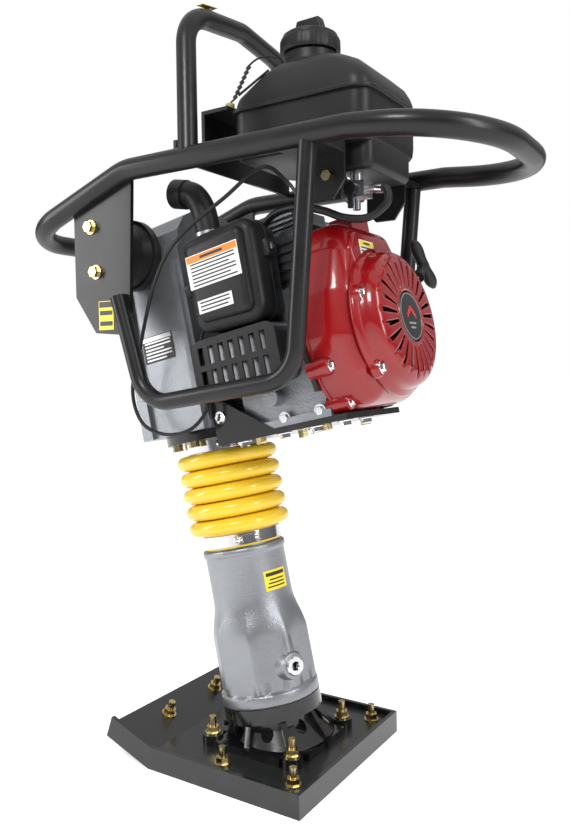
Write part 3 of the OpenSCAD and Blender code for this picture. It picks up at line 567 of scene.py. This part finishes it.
cover_lug = [(13, 300), (12.4, 306), (11, 309.5), (9, 310)]
for i, (a, r) in enumerate(((160, 88), (222, 92), (318, 92), (20, 88))):
    t = math.radians(a)
    y, s = r * math.cos(t), FAN_S + r * math.sin(t)
    add("cover_lug_%d" % i, *lathe(cover_lug, 40, True), RED, M, "red_paint", facing_x(LEG, 0, y, s))
    bolt("cover_screw_%d" % i, (309.5, y, s), (1, 0, 0), 6, 3.5, M, LEG, CHROME)
shroud_lug = [(13, 226), (12, 252), (10.6, 256), (8, 256.6)]
for i, (y, s) in enumerate(((-62, 474), (-96, 520), (60, 474))):
    add("shroud_lug_%d" % i, *lathe(shroud_lug, 40, True), RED, M, "red_paint", facing_x(LEG, 0, y, s))
    bolt("shroud_screw_%d" % i, (256, y, s), (1, 0, 0), 6, 3.5, M, LEG, CHROME)
ridge = fan_outline(round_poly([(-62, 66), (34, 66), (44, 92), (34, 118), (-56, 118), (-72, 92)], 12, 5))
add("shroud_panel", *slab(ridge, 290, 301, 6, along_x, 4, False), RED, M, "red_paint", LEG)

# ------------------------------------------------------------------ air cleaner

ELBOW_Y = -86  # middle of the intake elbow

face = round_poly([(81, 600), (191, 596), (195, 731), (79, 729)], [20, 24, 20, 18], 6)
cover = slab(face, 88, 124, 13, along_y, 5, False)
add("cleaner_cover", *cover, PLASTIC, M, "black_plastic", LEG, ["air_cleaner_cover"])
panel_face = round_poly([(93, 612), (181, 608), (184, 720), (91, 718)], 12, 5)
panel = slab(panel_face, 120, 134, 9, along_y, 4, False)
add("cleaner_panel", *panel, PLASTIC, M, "black_plastic", LEG)
case_face = round_poly([(84, 602), (188, 598), (192, 729), (83, 727)], 18, 6)
case = slab(case_face, 62, 88, 5, along_y, 3)
add("cleaner_case", *case, PLASTIC, M, "black_plastic", LEG, ["air_cleaner_case"])
stops = [(1, 84.5), (-1.6, 85), (-1.8, 87.5), (-1.4, 90), (1, 90.5)]
seam = [[along_y(p.x, p.y, h) for p in inset(face, d)] for d, h in stops]
add("cleaner_seam", *loft(seam, caps=False), PLASTIC, M, "black_plastic", LEG)
box("cleaner_latch", (186, -104, 676), (202, -78, 700), 4, PLASTIC, M, "black_plastic", LEG)
bolt("cleaner_screw", (198, -92, 690), (1, -0.35, 0), 5.5, 3, M, LEG, STEEL)
knob = [(6, 0), (11, 1), (11.6, 4), (11, 10), (9, 12), (1, 12.4)]
place = LEG @ Matrix.Translation(mm(84, -112, 664)) @ Matrix.Rotation(-math.pi / 2, 4, "Y")
add("cleaner_knob", *lathe(knob, 40, True), PLASTIC, M, "black_plastic", place)

side_view = [(104, 722), (104, 746), (102, 772), (92, 794), (74, 804), (62, 807.5)]
elbow = smooth_path([(x, ELBOW_Y, s) for x, s in side_view], 8)
sweep("elbow_tube", elbow, 17, RUBBER, M, "black_rubber", LEG, ["intake_elbow"])
low_band = [(104, ELBOW_Y, 729), (104, ELBOW_Y, 737)]
high_band = [(80, ELBOW_Y, 800), (61, ELBOW_Y, 807.5)]
sweep("elbow_band_0", low_band, 19.5, STEEL, M, "black_rubber", LEG)
sweep("elbow_band_1", high_band, 20, RUBBER, M, "black_rubber", LEG)

# ------------------------------------------------------------------ fuel tank and cap

NECK_X = 64  # the filler's axis
CAP_N = 120
CAP_RIDGES = 30
TETHER_BENDS = 14

# The tank's rings, bottom to top: front end, rear end, half width, height and corner radius.
rings = []
for x0, x1, half_w, z, r in (
        (-6, 176, 72, 835, 18), (-11, 182, 77, 836.5, 20), (-13.5, 185, 79.4, 841, 22),
        (-14, 186, 80, 850, 22), (-14, 186, 80, 898, 22), (-13.6, 185.6, 79.6, 908, 22),
        (-11, 183, 77.5, 916, 22), (-2, 178, 73, 926, 24), (14, 160, 66, 942, 26),
        (26, 142, 60, 952, 28), (34, 130, 52, 957.5, 28), (44, 118, 42, 960, 26)):
    rings.append([along_z(p.x, p.y, z) for p in rect(x1 - x0, 2 * half_w, r, (x0 + x1) / 2, 0, 8)])
add("tank_shell", *loft(rings), TANK, M, "black_plastic", WORLD, ["fuel_tank"], sharp=60)
sump = slab(rect(56, 126, 14, 156, 0), 803, 846, 9, along_z, 4)
add("tank_sump", *sump, TANK, M, "black_plastic")
seam = slab(rect(210, 170, 26, 86, 0, 8), 896, 901.5, 2, along_z, 3)
add("tank_seam", *seam, TANK, M, "black_plastic")
neck = [(50, 952), (45, 957), (40, 960), (37, 965), (36, 970), (36, 979), (34, 981), (34, 990), (30, 992),
        (27, 990)]
add("tank_neck", *lathe(neck, 80), TANK, M, "black_plastic", Matrix.Translation(mm(NECK_X, 0, 0)))
for i, side in enumerate((-1, 1)):
    crease = [(-4, side * 74, 921), (36, side * 60, 950)]
    sweep("tank_rib_%d" % i, crease, 1.6, TANK, M, "black_plastic", n=10)

# The cap's rings: radius, height and how far the grip ridges stand out.
rings = []
for r, z, ridge in (
        (34.6, 981, 0), (39.6, 981, 0), (40.4, 982.6, 0.6), (40.6, 986, 0.6), (40.2, 998, 0.6),
        (39.6, 1000, 0), (38, 1001, 0), (37, 1005, 0), (34, 1007, 0), (26, 1008, 0), (1, 1008, 0)):
    cap_ring = []
    for j in range(CAP_N):
        t = 2 * math.pi * j / CAP_N
        q = r + ridge * (math.cos(CAP_RIDGES * t) > 0.2)
        cap_ring.append(mm(NECK_X + q * math.cos(t), q * math.sin(t), z))
    rings.append(cap_ring)
add("cap_body", *loft(rings, caps=False), PLASTIC, "cap", "black_plastic", WORLD, ["fuel_cap"])
fin = round_poly([(-24, 1006), (24, 1006), (17, 1028), (-17, 1028)], 3, 4)
fin = slab([p + Vector((NECK_X, 0)) for p in fin], -7.5, 7.5, 2.5, along_y, 4)
add("cap_fin", *fin, PLASTIC, "cap", "black_plastic")

tether = [(30, -30, 976), (18, -36, 979), (4, -42, 976)]
for i in range(TETHER_BENDS + 1):
    t = i / TETHER_BENDS
    side = 1 if i % 2 else -1
    tether.append((-6 - 24 * t + 6 * side, -45 - 4 * t - 3 * side, 968 - 42 * t))
tether.append((-34, -50, 921))
sweep("tether_wire", smooth_path(tether, 8), 1.35, PLASTIC, M, "steel", replaces=["cap_tether"], n=8)

# ------------------------------------------------------------------ hoses and cable

cable = smooth_path([
    (44, 114, 832), (20, 96, 812), (20, 40, 806), (50, -40, 806), (56, -108, 812), (14, -132, 776),
    (-60, -141, 728), (-108, -132, 676), (-150, -118, 590), (-166, -118, 530), (-150, -118, 486),
    (-112, -116, 470), (-70, -112, 476), (-50, -100, 500), (-52, -96, 522), (-64, -91, 570), (-71, -76, 611),
    (-60, -60, 636), (-42, -52, 653), (-12, -48, 665)])
sweep("cable_sheath", cable, 2.6, RUBBER, M, "black_rubber", replaces=["throttle_cable"], n=12)
hose = smooth_path([
    (184, -46, 780), (196, -46, 778), (200, -50, 760), (180, -62, 742), (150, -68, 744), (120, -72, 756),
    (80, -70, 765), (36, -60, 760), (12, -52, 738), (6, -47, 714), (7, -46, 694)])
sweep("fuel_line", hose, 5, RUBBER, M, "black_rubber", replaces=["fuel_hose"], n=16)
for i, clip in enumerate((((183, -46, 780), (192, -46, 779)), ((6.3, -46.6, 706), (6.6, -46.2, 700)))):
    sweep("hose_clip_%d" % i, clip, 6.2, CHROME, M, "chrome_band", n=20)

# ------------------------------------------------------------------ recoil rope and grip

ROPE_STEPS = 60
STEM_STEPS = 12
BAR_STEPS = 16
PULL = LEG @ Matrix.Translation(mm(319, 55, 611)) @ Matrix.Rotation(math.radians(35), 4, "X")

run = [(0, -20 + 52 * k / ROPE_STEPS, 0) for k in range(ROPE_STEPS + 1)]
rope = sweep("pull_rope", run, 1.8, ROPE, None, "rope", PULL, ["recoil_rope"], n=12)
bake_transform(rope)
stem = [(0, 30 + 34 * k / STEM_STEPS, 0) for k in range(STEM_STEPS + 1)]
swell = [8.6, 8.8, 8.8, 8.2, 7.4, 6.8, 6.5, 6.5, 6.6, 7, 7.6, 8.2, 8.6]
sweep("grip_stem", stem, 8, PLASTIC, "grip", "black_plastic", PULL, ["recoil_grip"], radii=swell, n=24)
bar = []
for k in range(BAR_STEPS + 1):
    bar.append((0, 66 + 3 * math.cos(math.pi * k / BAR_STEPS) ** 2, -39 + 78 * k / BAR_STEPS))
swell = [3, 6.5, 8.2, 8.8, 8.8, 8.4, 8, 8, 8.4, 8, 8, 8.4, 8.8, 8.8, 8.2, 6.5, 3]
sweep("grip_bar", bar, 8, PLASTIC, "grip", "black_plastic", PULL, radii=swell, n=24)

# ------------------------------------------------------------------ labels, all generic


def print_block(name, corner, opposite, h, mat, body, place):
    """A thin rectangle of print between two corners, h mm proud of the label's own plane."""
    (x0, y0), (x1, y1) = corner, opposite
    me = bpy.data.meshes.new(name)
    c = [(x0, y0), (x1, y0), (x1, y1), (x0, y1)]
    me.from_pydata([mm(a, b, 0) for a, b in c] + [mm(a, b, h) for a, b in c], [],
                   [(4, 5, 6, 7), (0, 1, 5, 4), (1, 2, 6, 5), (2, 3, 7, 6), (3, 0, 4, 7)])
    me.materials.append(mat)
    ob = bpy.data.objects.new(name, me)
    bpy.context.scene.collection.objects.link(ob)
    ob.data.transform(place)
    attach(ob, body)


def label(name, width, height, place, header, header_part, base, rows, ink=INK):
    """A printed plate: a base, a coloured header band and bars that stand for lines of print."""
    def put(part, corner, opposite, h, mat):
        print_block(name + part, corner, opposite, h, mat, M, place)

    put("", (-width / 2, -height / 2), (width / 2, height / 2), 0.4, base)
    top = height / 2 - 1
    if header:
        band = height * header_part
        put("_head", (-width / 2 + 1, top - band), (width / 2 - 1, top), 0.55, header)
        put("_headprint", (-width * 0.22, top - band * 0.7), (width * 0.22, top - band * 0.3), 0.65, ink)
        top -= band
    step = (top + height / 2 - 1.5) / rows
    left = -width * 0.43
    for i in range(rows):
        w = width * (0.86 - 0.3 * random.random() * (i % 3 == 2))
        y = top - (i + 0.72) * step
        put("_row_%d" % i, (left, y), (left + w, y + step * 0.42), 0.55, ink)


def plane(origin, u, v, at=WORLD):
    """The place at origin, in mm, whose own x and y axes run along u and v."""
    u, v = Vector(u).normalized(), Vector(v).normalized()
    turn = Matrix((u, v, u.cross(v))).transposed().to_4x4()
    return at @ Matrix.Translation(mm(*origin)) @ turn


ACROSS = (0, 1, 0)
ALONG = (1, 0, 0)
UP = (0, 0, 1)
label("cleaner_label", 84, 44, plane((136, -134.3, 678), ALONG, UP, LEG), ORANGE, 0.2, WHITE, 7)
label("cleaner_strip", 56, 17, plane((129, -134.3, 631), ALONG, UP, LEG), None, 0, WHITE, 3)
label("shroud_label", 40, 27, plane((301.2, -26, 659), ACROSS, UP, LEG), LABEL_YELLOW, 0.24, WHITE, 4)
label("noise_label", 28, 40, plane((-184, -147.3, 636), ALONG, UP), INK, 0.2, LABEL_YELLOW, 2)
label("data_plate", 56, 38, plane((-18, -88.5, 607), ALONG, UP, LEG), SILVER_INK, 0.16, INK, 6, SILVER_INK)
label("hoop_label", 34, 11, plane((-50, -78, 1045.6), (0, 1, 0.17), (-1, 0, 0)), INK, 0.3, LABEL_YELLOW, 2)


def wrapped(name, r, centre, span, low, high, mat):
    """A thin printed strip that follows the round leg, span degrees wide round centre."""
    section = [(r - 0.5, low), (r, low), (r, high), (r - 0.5, high)]
    rings = []
    for i in range(13):
        t = math.radians(centre + span * (i / 12 - 0.5))
        rings.append([polar(q, t, z) for q, z in section])
    add(name, *loft(rings), mat, "foot", "sand_cast_aluminium", LEG)


wrapped("leg_label", 58.75, -13, 40, 238, 266, LABEL_YELLOW)
wrapped("leg_label_head", 58.9, -13, 34, 258, 263, INK)
for k in range(3):
    wrapped("leg_label_row_%d" % k, 58.9, -14 + k, 32 - 3 * k, 242 + 5 * k, 244 + 5 * k, INK)

# ------------------------------------------------------------------ small hardware

for i, pos in enumerate(((60, -78, 490), (110, -72, 470), (160, -72, 470), (215, -72, 470))):
    bolt("base_side_bolt_%d" % i, pos, (0, -1, 0), 6, 4, M, LEG, CHROME)
for i, (x, y) in enumerate(((80, -60), (150, -64), (200, -64), (240, -58), (240, 0), (160, 0))):
    bolt("base_low_bolt_%d" % i, (x, y, 452), (0, 0, -1), 7, 6, M, LEG, CHROME)
cos_t, sin_t = math.cos(math.radians(-45)), math.sin(math.radians(-45))
for s, body in ((318, "foot"), (457, M)):
    pos = (62 * cos_t + 14 * sin_t, 62 * sin_t - 14 * cos_t, s + 0.5)
    bolt("clamp_screw_%d" % s, pos, (sin_t, -cos_t, 0), 4.5, 5, body, LEG, CHROME, round_head=True)

# ------------------------------------------------------------------ floor, light, camera

FLOOR = 60  # half a side, in metres

me = bpy.data.meshes.new("floor")
corners = [(-FLOOR, -FLOOR, 0), (FLOOR, -FLOOR, 0), (FLOOR, FLOOR, 0), (-FLOOR, FLOOR, 0)]
me.from_pydata(corners, [], [(0, 1, 2, 3)])
floor = bpy.data.objects.new("floor", me)
bpy.context.scene.collection.objects.link(floor)
pale = material("floor_pale", (0.85, 0.85, 0.85), 0.8, bump=0.02, vary=0.01)
pale.node_tree.nodes["Principled BSDF"].inputs["Emission Color"].default_value = (1, 1, 1, 1)
pale.node_tree.nodes["Principled BSDF"].inputs["Emission Strength"].default_value = 0.5
me.materials.append(pale)

world = bpy.data.worlds.new("studio")
bpy.context.scene.world = world
world.use_nodes = True
wt = world.node_tree
seen = wt.nodes["Background"]
seen.inputs["Color"].default_value = (1, 1, 1, 1)
seen.inputs["Strength"].default_value = 1.0
lit = wt.nodes.new("ShaderNodeBackground")
lit.inputs["Strength"].default_value = 1.0
where = wt.nodes.new("ShaderNodeTexCoord")
split = wt.nodes.new("ShaderNodeSeparateXYZ")
wt.links.new(where.outputs["Generated"], split.inputs["Vector"])
sky = wt.nodes.new("ShaderNodeValToRGB")
sky.color_ramp.elements[0].position = 0.0
sky.color_ramp.elements[0].color = (0.08, 0.08, 0.09, 1)
sky.color_ramp.elements[1].position = 0.75
sky.color_ramp.elements[1].color = (0.8, 0.8, 0.8, 1)
wt.links.new(split.outputs["Z"], sky.inputs["Fac"])
wt.links.new(sky.outputs["Color"], lit.inputs["Color"])
rays = wt.nodes.new("ShaderNodeLightPath")
blend_world = wt.nodes.new("ShaderNodeMixShader")
wt.links.new(rays.outputs["Is Camera Ray"], blend_world.inputs["Fac"])
wt.links.new(lit.outputs["Background"], blend_world.inputs[1])
wt.links.new(seen.outputs["Background"], blend_world.inputs[2])
wt.links.new(blend_world.outputs["Shader"], wt.nodes["World Output"].inputs["Surface"])


def area(name, loc, target, size, power, size_y=None):
    """A lamp at loc that looks at target, in metres and watts."""
    data = bpy.data.lights.new(name, "AREA")
    data.energy = power
    data.size = size
    if size_y:
        data.shape = "RECTANGLE"
        data.size_y = size_y
    ob = bpy.data.objects.new(name, data)
    bpy.context.scene.collection.objects.link(ob)
    ob.location = loc
    ob.rotation_euler = (Vector(target) - Vector(loc)).to_track_quat("-Z", "Y").to_euler()


area("key", (0.4, -1.9, 2.2), (0, 0, 0.6), 0.6, 27)
area("rim_right", (2.0, -0.3, 1.4), (0, 0, 0.6), 0.35, 20, 1.6)
area("fill_left", (-1.9, -1.5, 1.1), (0, 0, 0.5), 0.7, 22, 1.4)

cam_data = bpy.data.cameras.new("camera")
cam = bpy.data.objects.new("camera", cam_data)
bpy.context.scene.collection.objects.link(cam)
yaw, pitch, roll = math.radians(33.0), math.radians(-3.1), math.radians(-0.9)
fwd = Vector((-math.sin(yaw) * math.cos(pitch), math.cos(yaw) * math.cos(pitch), math.sin(pitch)))
right = Vector((math.cos(yaw), math.sin(yaw), 0))
up = right.cross(fwd)
rolled_right = right * math.cos(roll) + up * math.sin(roll)
rolled_up = up * math.cos(roll) - right * math.sin(roll)
turn = Matrix((rolled_right, rolled_up, -fwd)).transposed().to_4x4()
cam.matrix_world = Matrix.Translation((0.624, -0.953, 0.558)) @ turn
cam_data.lens = 34.82
cam_data.sensor_width = 36
cam_data.clip_end = 300
cam_data.shift_x = 0.0067
bpy.context.scene.camera = cam
bpy.context.scene.view_settings.view_transform = "Standard"
